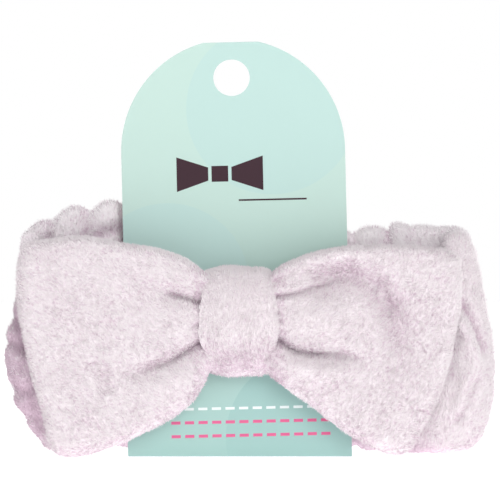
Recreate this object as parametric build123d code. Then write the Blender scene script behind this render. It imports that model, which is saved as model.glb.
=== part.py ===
from build123d import *
import os

# Plush bow headband on its hang card, in millimetres. +X right, +Y to the back, +Z up.
# The origin is the middle of the footprint, on the level that the lower edges stand on.

# The flattened loop from the lower edge up: (height, left fold, right fold) of its outside.
loop_stations = [
    (0.0, -92.0, 100.0),
    (16.0, -102.0, 107.0),
    (42.0, -109.5, 110.0),
    (75.0, -107.0, 107.0),
    (118.0, -101.0, 98.0),
]
loop_depth = 30.1          # front face to back face of the folded loop
loop_back_y = 26.5
face_thick = 4.6           # outer fleece with its pile
lining_thick = 3.8         # inner fleece with its pile
layer_gap = 0.2            # air between two layers of cloth
body_gap = 0.3             # air between the front band and the back casing at the side seams

# Elastic and thread.
elastic_thick = 0.8
elastic_width = 40.0
elastic_length = 176.0
elastic_middle_z = 56.0
thread = 0.5
tack_count = 5             # rows of stitches at each end of the elastic
tack_length = 4.0
tack_inset = 4.0           # middle of the tacks, in from the end of the elastic
seam_allowance = 1.6       # how far a turned-in side seam stands into the loop
seam_reach = 4.0
seam_low_z = 8.0
seam_high_z = 92.0

# Knot: a strap wound round the waist of the bow and of the band.
knot_left_x = -22.5
knot_right_x = 12.8
knot_front_y = -26.5
knot_back_y = 8.6
knot_low_z = 37.5
knot_high_z = 87.0
knot_wall = 3.4
knot_corner = 11.0
knot_seam_margin = 3.0
knot_seam_groove = 2.0
knot_stitch_count = 7

# Bow wings: pillows that hinge beside the knot, outlined as seen from the front.
wing_front_y = -25.0
wing_back_y = -4.4
wing_edge_round = 8.0
wing_corner = 9.0
hinge_radius = 5.0         # half the thickness of the pinched cloth beside the knot
hinge_gap = 0.4
hinge_flare = 17.0         # run from the hinge to the full thickness
left_wing_outline = [
    (-18.0, 34.0), (-18.0, 85.0), (-42.0, 96.0), (-77.0, 102.4), (-106.3, 98.5),
    (-105.6, 64.0), (-91.0, 0.3), (-77.0, 0.5), (-46.0, 12.6),
]
right_wing_outline = [
    (8.0, 38.0), (8.0, 84.0), (33.0, 95.5), (58.0, 97.8), (95.9, 94.4),
    (96.4, 70.0), (88.0, 33.0), (72.5, 1.0), (60.0, 1.6), (40.0, 14.0),
]

# Outlines of the front band and the back casing, as seen from the front.
waist_low_z = 41.3
waist_high_z = 83.2
front_outline = [
    (-115.0, 0.0), (-77.0, 0.0), (-60.0, 10.0), (-24.0, waist_low_z), (14.5, waist_low_z),
    (40.0, 18.0), (60.0, 5.0), (70.0, 0.0), (115.0, 0.0), (115.0, 103.5), (96.0, 102.0),
    (80.0, 93.0), (45.0, 92.0), (14.5, waist_high_z), (-24.0, waist_high_z), (-60.0, 93.0),
    (-95.0, 97.0), (-115.0, 99.0),
]
back_outline = [
    (-115.0, 0.0), (115.0, 0.0), (115.0, 101.0), (97.0, 104.6), (66.0, 106.0), (44.0, 103.5),
    (0.0, 109.0), (-58.0, 114.6), (-69.0, 116.0), (-88.0, 111.0), (-104.0, 101.0),
    (-115.0, 98.0),
]

# Hang card: a flat-topped arch that leans to the left, with its foot cut level.
card_width = 102.0
card_thick = 0.6
card_y = 9.5               # middle of its thickness
card_foot_x = -4.5
card_foot_z = 0.4
card_height = 188.8
card_top_flat = 25.0
card_hole_radius = 8.3
card_hole_height = 172.6   # above the foot
card_lean = -1.3           # degrees about Y

split_y = loop_back_y - loop_depth / 2
loop_front_y = loop_back_y - loop_depth
lining_inset = face_thick + layer_gap
inside_inset = lining_inset + lining_thick
elastic_inset = face_thick + layer_gap
casing_inset = elastic_inset + elastic_thick + layer_gap
knot_middle_x = (knot_left_x + knot_right_x) / 2
knot_middle_y = (knot_front_y + knot_back_y) / 2
knot_middle_z = (knot_low_z + knot_high_z) / 2
knot_run = knot_right_x - knot_left_x
wing_middle_y = (wing_front_y + wing_back_y) / 2
wing_thick = wing_back_y - wing_front_y
far = 400.0


def loop_core(inset):
    # The flattened loop as one solid, drawn in from its outside by inset.
    sections = Sketch()
    for height, left, right in loop_stations:
        level = Plane(((left + right) / 2, split_y, height))
        sections += level * SlotOverall(right - left - 2 * inset, loop_depth - 2 * inset)
    return loft(sections)


def slab(outline, low_y, high_y):
    # An outline seen from the front, thickened from low_y to high_y.
    face = Plane.XZ * make_face(Polyline(*outline, close=True))
    return Pos(0, high_y, 0) * extrude(face, amount=high_y - low_y)


def block(low_x, high_x, low_y, high_y, low_z, high_z):
    middle = Pos((low_x + high_x) / 2, (low_y + high_y) / 2, (low_z + high_z) / 2)
    return middle * Box(high_x - low_x, high_y - low_y, high_z - low_z)


def loop_layer(inset, thick):
    return loop_core(inset) - loop_core(inset + thick)


def knot_bar(inset):
    # The knot's rounded cross-section run along X, drawn in by inset.
    size_y = knot_back_y - knot_front_y - 2 * inset
    size_z = knot_high_z - knot_low_z - 2 * inset
    profile = RectangleRounded(size_y, size_z, knot_corner - inset)
    bar = extrude(Plane.YZ * Pos(knot_middle_y, knot_middle_z) * profile, amount=knot_run)
    return Pos(knot_left_x, 0, 0) * bar


def front_band():
    trim = slab(front_outline, loop_front_y - 1, split_y - body_gap / 2)
    across_knot = block(knot_left_x, knot_right_x, -far, far, -far, far)
    outside_strap = across_knot - knot_bar(knot_wall + layer_gap)
    face = (loop_layer(0.0, face_thick) & trim) - outside_strap
    lining = (loop_layer(lining_inset, lining_thick) & trim) - outside_strap
    return face, lining


def back_casing():
    trim = slab(back_outline, split_y + body_gap / 2, loop_back_y + 1)
    outer = loop_layer(0.0, face_thick) & trim
    inner = loop_layer(casing_inset, inside_inset - casing_inset) & trim
    half = elastic_length / 2
    low_z = elastic_middle_z - elastic_width / 2
    strip_trim = block(-half, half, split_y, far, low_z, low_z + elastic_width)
    return outer, inner, loop_layer(elastic_inset, elastic_thick) & strip_trim


def elastic_tacks():
    # Rows of stitches that hold each end of the elastic to the casing's inner layer.
    tack_x = elastic_length / 2 - tack_inset
    tack_y = loop_back_y - casing_inset + layer_gap / 2
    spacing = elastic_width / (tack_count + 1)
    rows = []
    for side in (-1, 1):
        for i in range(tack_count):
            z = elastic_middle_z + (i - (tack_count - 1) / 2) * spacing
            rows.append(Pos(side * tack_x, tack_y, z) * Box(tack_length, layer_gap, 2 * thread))
    return Compound(children=rows)


def side_seams():
    # Turned-in seam allowances where the front band meets the back casing.
    shell = loop_layer(inside_inset, seam_allowance)
    high_y = split_y - body_gap / 2
    left = block(-far, 0, high_y - seam_reach, high_y, seam_low_z, seam_high_z)
    right = block(0, far, high_y - seam_reach, high_y, seam_low_z, seam_high_z)
    return shell & left, shell & right


def knot():
    # The strap, the closing stitches at its back, and the gathered bow cloth inside it.
    half_run = knot_run / 2 - knot_seam_margin
    groove = block(
        knot_middle_x - half_run, knot_middle_x + half_run, knot_back_y - 2 * thread, far,
        knot_middle_z - knot_seam_groove / 2, knot_middle_z + knot_seam_groove / 2,
    )
    strap = knot_bar(0.0) - knot_bar(knot_wall) - groove
    step = 2 * half_run / knot_stitch_count
    stitches = []
    for i in range(knot_stitch_count):
        x = knot_middle_x + (i - (knot_stitch_count - 1) / 2) * step
        stitch = Box(0.7 * step, thread, thread)
        stitches.append(Pos(x, knot_back_y - 3 * thread / 2, knot_middle_z) * stitch)
    in_front_of_band = block(-far, far, -far, loop_front_y - layer_gap, -far, far)
    waist = knot_bar(knot_wall + layer_gap) & in_front_of_band
    return strap, Compound(children=stitches), waist


def wing(outline, side):
    # One wing as its front and back layers of cloth; side is -1 for left and 1 for right.
    knot_x = knot_left_x if side < 0 else knot_right_x
    hinge_x = knot_x + side * (hinge_gap + hinge_radius)
    tip_x = side * max(side * x for x, z in outline)
    half = wing_thick / 2
    face = make_face(Polyline(*outline, close=True))
    face = fillet(face.vertices(), wing_corner)
    pillow = Pos(0, wing_back_y, 0) * extrude(Plane.XZ * face, amount=wing_thick)
    across = pillow.faces().sort_by(Axis.Y)
    pillow = fillet(across[0].edges() + across[-1].edges(), wing_edge_round)
    rounds = [(hinge_x, hinge_radius), (hinge_x + side * hinge_flare, half), (tip_x - side * half, half)]
    circles = [Pos(x, wing_middle_y) * Circle(radius) for x, radius in rounds]
    plan = make_hull([edge for circle in circles for edge in circle.edges()])
    pillow &= extrude(plan, amount=far)
    front = block(-far, far, -far, wing_middle_y, -far, far)
    return pillow & front, pillow - front


def hang_card():
    half = card_width / 2
    flat = card_top_flat / 2
    arch_z = card_height - (half**2 - flat**2) ** 0.5
    shoulder = half * 2**-0.5
    left_side = Line((-half, -half), (-half, arch_z))
    left_arc = ThreePointArc((-half, arch_z), (-shoulder, arch_z + shoulder), (-flat, card_height))
    top = Line((-flat, card_height), (flat, card_height))
    right_arc = ThreePointArc((flat, card_height), (shoulder, arch_z + shoulder), (half, arch_z))
    right_side = Line((half, arch_z), (half, -half))
    foot = Line((half, -half), (-half, -half))
    face = make_face(left_side + left_arc + top + right_arc + right_side + foot)
    face -= Pos(0, card_hole_height) * Circle(card_hole_radius)
    card = Pos(0, card_thick / 2, 0) * extrude(Plane.XZ * face, amount=card_thick)
    card = Pos(card_foot_x, card_y, card_foot_z) * Rot(0, card_lean, 0) * card
    return card & block(-far, far, -far, far, card_foot_z, far)


def build():
    face, lining = front_band()
    outer, inner, elastic = back_casing()
    left_seam, right_seam = side_seams()
    strap, stitches, waist = knot()
    left_front, left_back = wing(left_wing_outline, -1)
    right_front, right_back = wing(right_wing_outline, 1)
    return {
        "front_band_face": face,
        "front_band_lining": lining,
        "side_seam_left": left_seam,
        "side_seam_right": right_seam,
        "back_casing_outer": outer,
        "back_casing_inner": inner,
        "elastic_strip": elastic,
        "elastic_tacks": elastic_tacks(),
        "knot_wrap": strap,
        "knot_stitches": stitches,
        "bow_waist": waist,
        "bow_left_front": left_front,
        "bow_left_back": left_back,
        "bow_right_front": right_front,
        "bow_right_back": right_back,
        "hang_card": hang_card(),
    }


os.makedirs("parts", exist_ok=True)
for name, shape in build().items():
    export_step(shape, f"parts/{name}.step")
    box = shape.bounding_box()
    print(f"{name:18s} {shape.volume:9.0f} mm3  x {box.min.X:7.1f} {box.max.X:7.1f}"
          f"  y {box.min.Y:6.1f} {box.max.Y:6.1f}  z {box.min.Z:6.1f} {box.max.Z:6.1f}"
          f"  solids {len(shape.solids())}")
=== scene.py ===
import math
import bmesh
import bpy
from mathutils import Matrix, Vector, noise


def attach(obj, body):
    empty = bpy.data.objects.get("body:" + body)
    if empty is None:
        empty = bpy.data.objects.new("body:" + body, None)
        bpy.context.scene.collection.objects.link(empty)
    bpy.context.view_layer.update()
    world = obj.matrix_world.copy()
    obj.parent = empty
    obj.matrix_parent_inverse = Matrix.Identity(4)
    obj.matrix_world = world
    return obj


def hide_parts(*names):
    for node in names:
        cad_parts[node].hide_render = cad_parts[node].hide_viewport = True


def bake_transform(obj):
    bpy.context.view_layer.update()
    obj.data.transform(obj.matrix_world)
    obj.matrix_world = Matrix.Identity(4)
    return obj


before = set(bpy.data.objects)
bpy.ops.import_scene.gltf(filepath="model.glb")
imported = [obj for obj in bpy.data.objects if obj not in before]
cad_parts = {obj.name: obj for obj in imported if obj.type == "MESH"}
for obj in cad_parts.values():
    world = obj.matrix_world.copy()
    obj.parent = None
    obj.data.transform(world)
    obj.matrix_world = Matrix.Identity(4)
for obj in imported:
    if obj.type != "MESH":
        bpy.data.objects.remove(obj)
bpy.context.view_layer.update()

mm = 0.001
noise.seed_set(5)    # without it noise.noise_vector takes its place from the clock

# The camera comes first: square on to the front, from far off, so nothing widens or leans

studio = {
    "distance": 2.0, "viewWidth": 0.225, "lookX": 0.0, "lookY": -0.015, "lookZ": 0.0945,    # metres
    "sensor": 36.0,
    "sky": 0.28, "key": 9.5, "fill": 14.5, "back": 12.0, "whiteFloor": 0.74,
}

camera = bpy.data.objects.new("camera", bpy.data.cameras.new("camera"))
bpy.context.scene.collection.objects.link(camera)
camera.location = (studio["lookX"], studio["lookY"] - studio["distance"], studio["lookZ"])
camera.rotation_euler = (math.radians(90), 0, 0)
camera.data.sensor_width = studio["sensor"]
camera.data.lens = studio["sensor"] * studio["distance"] / studio["viewWidth"]
camera.data.clip_start, camera.data.clip_end = 0.1, 50
bpy.context.scene.camera = camera


# Working in millimetres along drawn lines

def lineThrough(points, share):    # a smooth line through points, read at a share of its length
    spans = [math.dist(a, b) for a, b in zip(points, points[1:])]
    want = share * sum(spans)
    i = 0
    while i < len(spans) - 1 and want > spans[i]:
        want -= spans[i]
        i += 1
    t = min(1.0, max(0.0, want / spans[i]))
    before, a, b = points[max(i - 1, 0)], points[i], points[i + 1]
    after = points[min(i + 2, len(points) - 1)]
    place = []
    for p, q, r, s in zip(before, a, b, after):
        lean, nextLean = (r - p) / 2, (s - q) / 2
        place.append((2 * t**3 - 3 * t**2 + 1) * q + (t**3 - 2 * t**2 + t) * lean
                     + (3 * t**2 - 2 * t**3) * r + (t**3 - t**2) * nextLean)
    return place


def ease(low, high, value):
    t = min(1.0, max(0.0, (value - low) / (high - low)))
    return t * t * (3 - 2 * t)


def roundOver(distance, radius):    # 0 on the rim, 1 from radius inwards, a quarter circle between
    t = min(1.0, max(0.0, distance / radius))
    return math.sqrt(1 - (1 - t) ** 2)


def heightOf(table, at):    # the eased value at a place, from (place, value) pairs
    for (a, low), (b, high) in zip(table, table[1:]):
        if at <= b or (b, high) == table[-1]:
            return low + (high - low) * ease(a, b, at)


def distanceTo(points, x, z):    # nearest distance to a run of points, and the share along it
    best, at, run = 1e9, 0.0, 0.0
    total = sum(math.dist(a, b) for a, b in zip(points, points[1:]))
    for (ax, az), (bx, bz) in zip(points, points[1:]):
        span = math.dist((ax, az), (bx, bz))
        t = ((x - ax) * (bx - ax) + (z - az) * (bz - az)) / span**2
        t = min(1.0, max(0.0, t))
        d = math.hypot(x - ax - t * (bx - ax), z - az - t * (bz - az))
        if d < best:
            best, at = d, (run + t * span) / total
        run += span
    return best, at


anyFold = {
    "reach": 4.0,    # widths from its line to where a fold is no longer felt
    "lipAt": 1.9,    # widths from its line to the lip that stands up beside it
    "lip": 0.25,     # height of the lip, as a share of the depth, unless the fold gives its own
    "fade": 0.001,   # share of the line over which it starts or ends, unless the fold gives its own
}


def foldDepth(folds, x, z):    # how far the cloth is pushed in, in mm; below 0 it stands out
    depth = 0.0
    for fold in folds:
        d, at = distanceTo(fold["line"], x, z)
        width = fold["width"]
        if d > anyFold["reach"] * width:
            continue
        fadeIn, fadeOut = fold.get("fadeIn", anyFold["fade"]), fold.get("fadeOut", anyFold["fade"])
        fade = ease(0, fadeIn, at) * ease(0, fadeOut, 1 - at)
        valley = math.exp(-(d / width) ** 2)
        lip = math.exp(-((d - anyFold["lipAt"] * width) / width) ** 2)
        depth += fade * fold["depth"] * (valley - fold.get("lip", anyFold["lip"]) * lip)
    return depth


# Making cloth: a block of it, swollen under pressure, rounded, and covered in pile

sortAlong = Vector((1.0, 17.3, 311.7))    # no two places fall together on it
weld = 0.02 * mm    # corners nearer than this are one


def intoScene(name, bm):    # corners, edges and faces in a fixed order, so the pile grows alike each run
    bm.verts.sort(key=lambda v: v.co.dot(sortAlong))
    bm.edges.sort(key=lambda e: (e.verts[0].co + e.verts[1].co).dot(sortAlong))
    bm.faces.sort(key=lambda f: f.calc_center_median().dot(sortAlong))
    mesh = bpy.data.meshes.new(name)
    bm.to_mesh(mesh)
    bm.free()
    piece = bpy.data.objects.new(name, mesh)
    bpy.context.scene.collection.objects.link(piece)
    return piece


def blockOfCloth(name, acrossCuts, upCuts, place):    # place puts each corner, from shares across and up
    bm = bmesh.new()
    bmesh.ops.create_cube(bm, size=2.0)
    for axis, cuts in ((0, acrossCuts), (2, upCuts)):
        along = [e for e in bm.edges    # the edges that lie along this axis
                 if abs((e.verts[1].co - e.verts[0].co).normalized()[axis]) > 0.99]
        bmesh.ops.subdivide_edges(bm, edges=along, cuts=cuts, use_grid_fill=True)
    for v in bm.verts:
        v.co = place((v.co.x + 1) / 2, (v.co.z + 1) / 2, v.co.y) * mm
    bmesh.ops.remove_doubles(bm, verts=bm.verts, dist=weld)
    bmesh.ops.recalc_face_normals(bm, faces=bm.faces)
    return intoScene(name, bm)


swelling = {
    "pressure": 4.0, "tension": 5.0, "bending": 0.1, "vertexMass": 0.001, "frames": 20,
}


def asShown(piece):    # the mesh with its modifiers applied, and none left on the piece
    graph = bpy.context.evaluated_depsgraph_get()
    shown = bpy.data.meshes.new_from_object(piece.evaluated_get(graph))
    piece.modifiers.clear()
    old = piece.data
    piece.data = shown
    bpy.data.meshes.remove(old)
    shown.name = piece.name


def swell(piece, voxel, mostMoved, holdAt):    # holdAt says how firmly a place is held, 0 to 1
    even = piece.modifiers.new("even", "REMESH")
    even.mode = "VOXEL"
    even.voxel_size = voxel * mm
    asShown(piece)
    held = piece.vertex_groups.new(name="held")
    for v in piece.data.vertices:
        held.add([v.index], holdAt(v.co / mm), "REPLACE")
    before = [v.co.copy() for v in piece.data.vertices]
    cloth = piece.modifiers.new("swell", "CLOTH")
    settings = cloth.settings
    settings.mass = swelling["vertexMass"]
    settings.tension_stiffness = swelling["tension"]
    settings.compression_stiffness = swelling["tension"]
    settings.bending_stiffness = swelling["bending"]
    settings.use_pressure = True
    settings.uniform_pressure_force = swelling["pressure"]
    settings.effector_weights.gravity = 0
    settings.vertex_group_mass = "held"
    cloth.point_cache.frame_start = 1
    cloth.point_cache.frame_end = swelling["frames"]
    for frameNumber in range(1, swelling["frames"] + 1):
        bpy.context.scene.frame_set(frameNumber)
    asShown(piece)
    piece.vertex_groups.clear()
    for v, start in zip(piece.data.vertices, before):
        move = v.co - start
        v.co = start + move * min(1.0, mostMoved * mm / max(move.length, 1e-9))
    bpy.context.scene.frame_set(1)


def softer(piece, levels):
    sub = piece.modifiers.new("soften", "SUBSURF")
    sub.levels = levels
    sub.render_levels = levels
    asShown(piece)


clumps = {
    "height": 0.24,      # mm, over the furrows between them
    "across": 1.15, "along": 2.2, "wander": 1.6, "wanderOver": 7.0,
    "finer": 2.1, "finerShare": 0.5,    # small furrows among them
    "tuft": 2.6, "tuftHeight": 0.24, "tuftShade": 0.15,
    "shadeInFurrows": 0.24,   # how much painted shade darkens the furrows between clumps
}


def raiseClumps(piece, combAngle, seed, paintedShadeAt, napAt):    # real furrows, painted shade for the colour, and what grows where
    turn = Matrix.Rotation(math.radians(combAngle), 3, "Y")
    mesh = piece.data
    shade = mesh.attributes.new("pileShade", "FLOAT", "POINT")
    paintedShade = mesh.attributes.new("paintedShade", "FLOAT", "POINT")
    nap = mesh.attributes.new("nap", "FLOAT", "POINT")
    shift = Vector((seed, seed * 0.7, -seed))
    normals = [v.normal.copy() for v in mesh.vertices]
    heights, shadeAmounts, naps = [], [], []
    for v, normal in zip(mesh.vertices, normals):
        p = v.co / mm + shift
        q = turn @ (p + noise.noise_vector(p / clumps["wanderOver"]) * clumps["wander"])
        furrow = Vector((q.x / clumps["across"], q.y / clumps["across"], q.z / clumps["along"]))
        fine = noise.noise(furrow) + clumps["finerShare"] * noise.noise(furrow * clumps["finer"])
        tuft = noise.noise(p / clumps["tuft"])
        v.co += normal * (clumps["height"] * fine + clumps["tuftHeight"] * tuft) * mm
        heights.append(0.5 + 0.5 * fine + clumps["tuftShade"] * tuft)
        naps.append(napAt(p - shift, normal))
        # painted shade: the piece's shade in folds and underneath, deepened in the low furrows
        deep = paintedShadeAt(p - shift, normal) - clumps["shadeInFurrows"] * (fine + 0.5 * tuft)
        shadeAmounts.append(min(1.0, max(0.0, deep)))
    shade.data.foreach_set("value", heights)
    paintedShade.data.foreach_set("value", shadeAmounts)
    nap.data.foreach_set("value", naps)
    for face in mesh.polygons:
        face.use_smooth = True
    print(piece.name, "has", len(mesh.polygons), "faces")


locks = {
    "perSquareMm": 3.2,
    "length": 1.35,      # mm
    "width": 0.42,       # mm at the root
    "sides": 3,
    "smallest": 0.6, "largest": 1.25,
    "lean": 1.0,         # how far the locks lie over in the brushed direction
    "swirl": 2.4,        # how far neighbours sway together
    "swirlOver": 110.0,  # sways in a metre
    "stray": 0.35,       # how unevenly each one lies
    "most": 48000,       # about this many on a piece, however large it is
}


def plantLocks(cloth, combAngle, seed, tipFinish, shadeFinish):    # small closed locks standing on the cloth
    name = cloth.name + "Pile"
    nap = cloth.data.attributes["nap"].data
    area = sum(face.area * nap[face.vertices[0]].value for face in cloth.data.polygons)
    tree = bpy.data.node_groups.new(name, "GeometryNodeTree")
    tree.interface.new_socket("Cloth", in_out="INPUT", socket_type="NodeSocketGeometry")
    tree.interface.new_socket("Pile", in_out="OUTPUT", socket_type="NodeSocketGeometry")
    nodes, links = tree.nodes, tree.links
    ground = nodes.new("NodeGroupInput")
    ground.label, ground.location = "Cloth", (-1100, 0)
    roots = nodes.new("GeometryNodeDistributePointsOnFaces")
    roots.label, roots.location = "Roots of the locks", (-900, 0)
    fullness = nodes.new("GeometryNodeInputNamedAttribute")
    fullness.label, fullness.location = "How thick the nap is here", (-1300, 200)
    crowd = nodes.new("ShaderNodeMath")
    crowd.label, crowd.location = "Locks in a square metre", (-1100, 200)
    depth = nodes.new("GeometryNodeInputNamedAttribute")
    depth.label, depth.location = "Painted shade amount", (-900, 400)
    chance = nodes.new("FunctionNodeRandomValue")
    chance.label, chance.location = "Mixed at random", (-900, 250)
    # locks with more painted shade than a random share take the lilac shade dye
    deeper = nodes.new("FunctionNodeCompare")
    deeper.label, deeper.location = "Shaded enough for the lilac shade dye", (-700, 300)
    apart = nodes.new("GeometryNodeSeparateGeometry")
    apart.label, apart.location = "Shaded locks and pale locks", (-500, 100)
    rootPlace = nodes.new("GeometryNodeInputPosition")
    rootPlace.label, rootPlace.location = "Place of the root", (-1300, -700)
    sway = nodes.new("ShaderNodeTexNoise")
    sway.label, sway.location = "Neighbours sway together", (-1100, -700)
    swayCentred = nodes.new("ShaderNodeVectorMath")
    swayCentred.label, swayCentred.location = "Either way", (-900, -700)
    stray = nodes.new("FunctionNodeRandomValue")
    stray.label, stray.location = "Each strays", (-900, -500)
    swayAdded = nodes.new("ShaderNodeVectorMath")
    swayAdded.label, swayAdded.location = "Sway and stray", (-700, -600)
    lean = nodes.new("ShaderNodeVectorMath")
    lean.label, lean.location = "Brushed over", (-500, -500)
    upAndOver = nodes.new("ShaderNodeVectorMath")
    upAndOver.label, upAndOver.location = "Out of the cloth and over", (-300, -400)
    turned = nodes.new("FunctionNodeAlignRotationToVector")
    turned.label, turned.location = "Point it that way", (-100, -400)
    size = nodes.new("FunctionNodeRandomValue")
    size.label, size.location = "Uneven size", (-100, -600)
    lock = nodes.new("GeometryNodeMeshCone")
    lock.label, lock.location = "One lock", (-300, -100)
    paleLock = nodes.new("GeometryNodeSetMaterial")
    paleLock.label, paleLock.location = "Pale tips", (-100, -50)
    # lilac dye that paints shade on locks in folds, furrows and underneath
    shadeLock = nodes.new("GeometryNodeSetMaterial")
    shadeLock.label, shadeLock.location = "Deeper lilac", (-100, -200)
    standPale = nodes.new("GeometryNodeInstanceOnPoints")
    standPale.label, standPale.location = "Pale locks on the cloth", (150, 100)
    standDeep = nodes.new("GeometryNodeInstanceOnPoints")
    standDeep.label, standDeep.location = "Shaded locks on the cloth", (150, -200)
    together = nodes.new("GeometryNodeJoinGeometry")
    together.label, together.location = "All the locks", (350, 0)
    real = nodes.new("GeometryNodeRealizeInstances")
    real.label, real.location = "As one mesh", (500, 0)
    pileOut = nodes.new("NodeGroupOutput")
    pileOut.label, pileOut.location = "Pile", (700, 0)

    roots.distribute_method = "RANDOM"
    fullness.data_type = "FLOAT"
    fullness.inputs["Name"].default_value = "nap"
    crowd.operation = "MULTIPLY"
    crowd.inputs[1].default_value = min(locks["perSquareMm"] / mm**2, locks["most"] / area)
    roots.inputs["Seed"].default_value = seed
    depth.data_type = "FLOAT"
    depth.inputs["Name"].default_value = "paintedShade"
    chance.data_type = "FLOAT"
    chance.inputs["Seed"].default_value = seed + 3
    deeper.data_type = "FLOAT"
    deeper.operation = "GREATER_THAN"
    apart.domain = "POINT"
    sway.inputs["Scale"].default_value = locks["swirlOver"]
    sway.inputs["Detail"].default_value = 1.0
    swayCentred.operation = "SUBTRACT"
    swayCentred.inputs[1].default_value = (0.5, 0.5, 0.5)
    swayAdded.operation = "MULTIPLY_ADD"
    swayAdded.inputs[1].default_value = (locks["swirl"],) * 3
    stray.data_type = "FLOAT_VECTOR"
    stray.inputs[0].default_value = (-locks["stray"],) * 3
    stray.inputs[1].default_value = (locks["stray"],) * 3
    stray.inputs["Seed"].default_value = seed + 1
    lean.operation = "ADD"
    angle = math.radians(combAngle)
    lean.inputs[1].default_value = (locks["lean"] * math.sin(angle), 0, locks["lean"] * math.cos(angle))
    upAndOver.operation = "ADD"
    turned.axis = "Z"
    size.data_type = "FLOAT"
    size.inputs[2].default_value = locks["smallest"]
    size.inputs[3].default_value = locks["largest"]
    size.inputs["Seed"].default_value = seed + 2
    lock.inputs["Vertices"].default_value = locks["sides"]
    lock.inputs["Radius Top"].default_value = 0.0
    lock.inputs["Radius Bottom"].default_value = locks["width"] / 2 * mm
    lock.inputs["Depth"].default_value = locks["length"] * mm
    paleLock.inputs["Material"].default_value = tipFinish
    shadeLock.inputs["Material"].default_value = shadeFinish

    links.new(ground.outputs[0], roots.inputs["Mesh"])
    links.new(fullness.outputs["Attribute"], crowd.inputs[0])
    links.new(crowd.outputs["Value"], roots.inputs["Density"])
    links.new(roots.outputs["Points"], apart.inputs["Geometry"])
    links.new(depth.outputs["Attribute"], deeper.inputs[0])
    links.new(chance.outputs[1], deeper.inputs[1])
    links.new(deeper.outputs["Result"], apart.inputs["Selection"])
    links.new(rootPlace.outputs["Position"], sway.inputs["Vector"])
    links.new(sway.outputs["Color"], swayCentred.inputs[0])
    links.new(swayCentred.outputs["Vector"], swayAdded.inputs[0])
    links.new(stray.outputs[0], swayAdded.inputs[2])
    links.new(swayAdded.outputs["Vector"], lean.inputs[0])
    links.new(lean.outputs["Vector"], upAndOver.inputs[0])
    links.new(roots.outputs["Normal"], upAndOver.inputs[1])
    links.new(upAndOver.outputs["Vector"], turned.inputs["Vector"])
    links.new(lock.outputs["Mesh"], paleLock.inputs["Geometry"])
    links.new(lock.outputs["Mesh"], shadeLock.inputs["Geometry"])
    links.new(apart.outputs["Inverted"], standPale.inputs["Points"])
    links.new(apart.outputs["Selection"], standDeep.inputs["Points"])
    links.new(paleLock.outputs["Geometry"], standPale.inputs["Instance"])
    links.new(shadeLock.outputs["Geometry"], standDeep.inputs["Instance"])
    links.new(turned.outputs["Rotation"], standPale.inputs["Rotation"])
    links.new(turned.outputs["Rotation"], standDeep.inputs["Rotation"])
    links.new(size.outputs[1], standPale.inputs["Scale"])
    links.new(size.outputs[1], standDeep.inputs["Scale"])
    links.new(standPale.outputs["Instances"], together.inputs["Geometry"])
    links.new(standDeep.outputs["Instances"], together.inputs["Geometry"])
    links.new(together.outputs["Geometry"], real.inputs["Geometry"])
    links.new(real.outputs["Geometry"], pileOut.inputs[0])

    grower = cloth.modifiers.new("pile", "NODES")
    grower.node_group = tree
    graph = bpy.context.evaluated_depsgraph_get()
    grown = bpy.data.meshes.new_from_object(cloth.evaluated_get(graph))
    cloth.modifiers.clear()
    bpy.data.node_groups.remove(tree)
    grown.name = name
    pile = bpy.data.objects.new(name, grown)
    bpy.context.scene.collection.objects.link(pile)
    print(name, "has", len(grown.vertices) // (locks["sides"] + 1), "locks")
    return pile


# The bow's two wings, drawn flat (x, z) in mm and given their thickness front to back

bow = {
    "frontY": -23.5, "backY": -5.6,
    "edgeRound": 5.0,
    "knotHalf": 8.0,      # half the thickness of the cloth where it goes into the knot
    "swellRun": 0.3,      # share of the wing over which it comes to its full thickness
    "outerThin": 0.25,    # how much thinner the far end of a wing is
    "acrossCuts": 44, "upCuts": 48,
    "voxel": 3.6, "mostMoved": 3.5,
    "heldTo": 2.0, "freeFrom": 8.0,    # mm out from the knot
    "creaseHold": 0.9, "creaseReach": 4.0, "rimReach": 5.0,
    "foldsBehind": 0.4, "broadBehind": 0.25,    # how much of a fold shows on the back
    "shadeInFolds": 0.05, "shadeByKnot": 0.3, "shadeUnder": 0.3,    # painted shade: in the folds, beside the knot and on faces turned down
}

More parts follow.
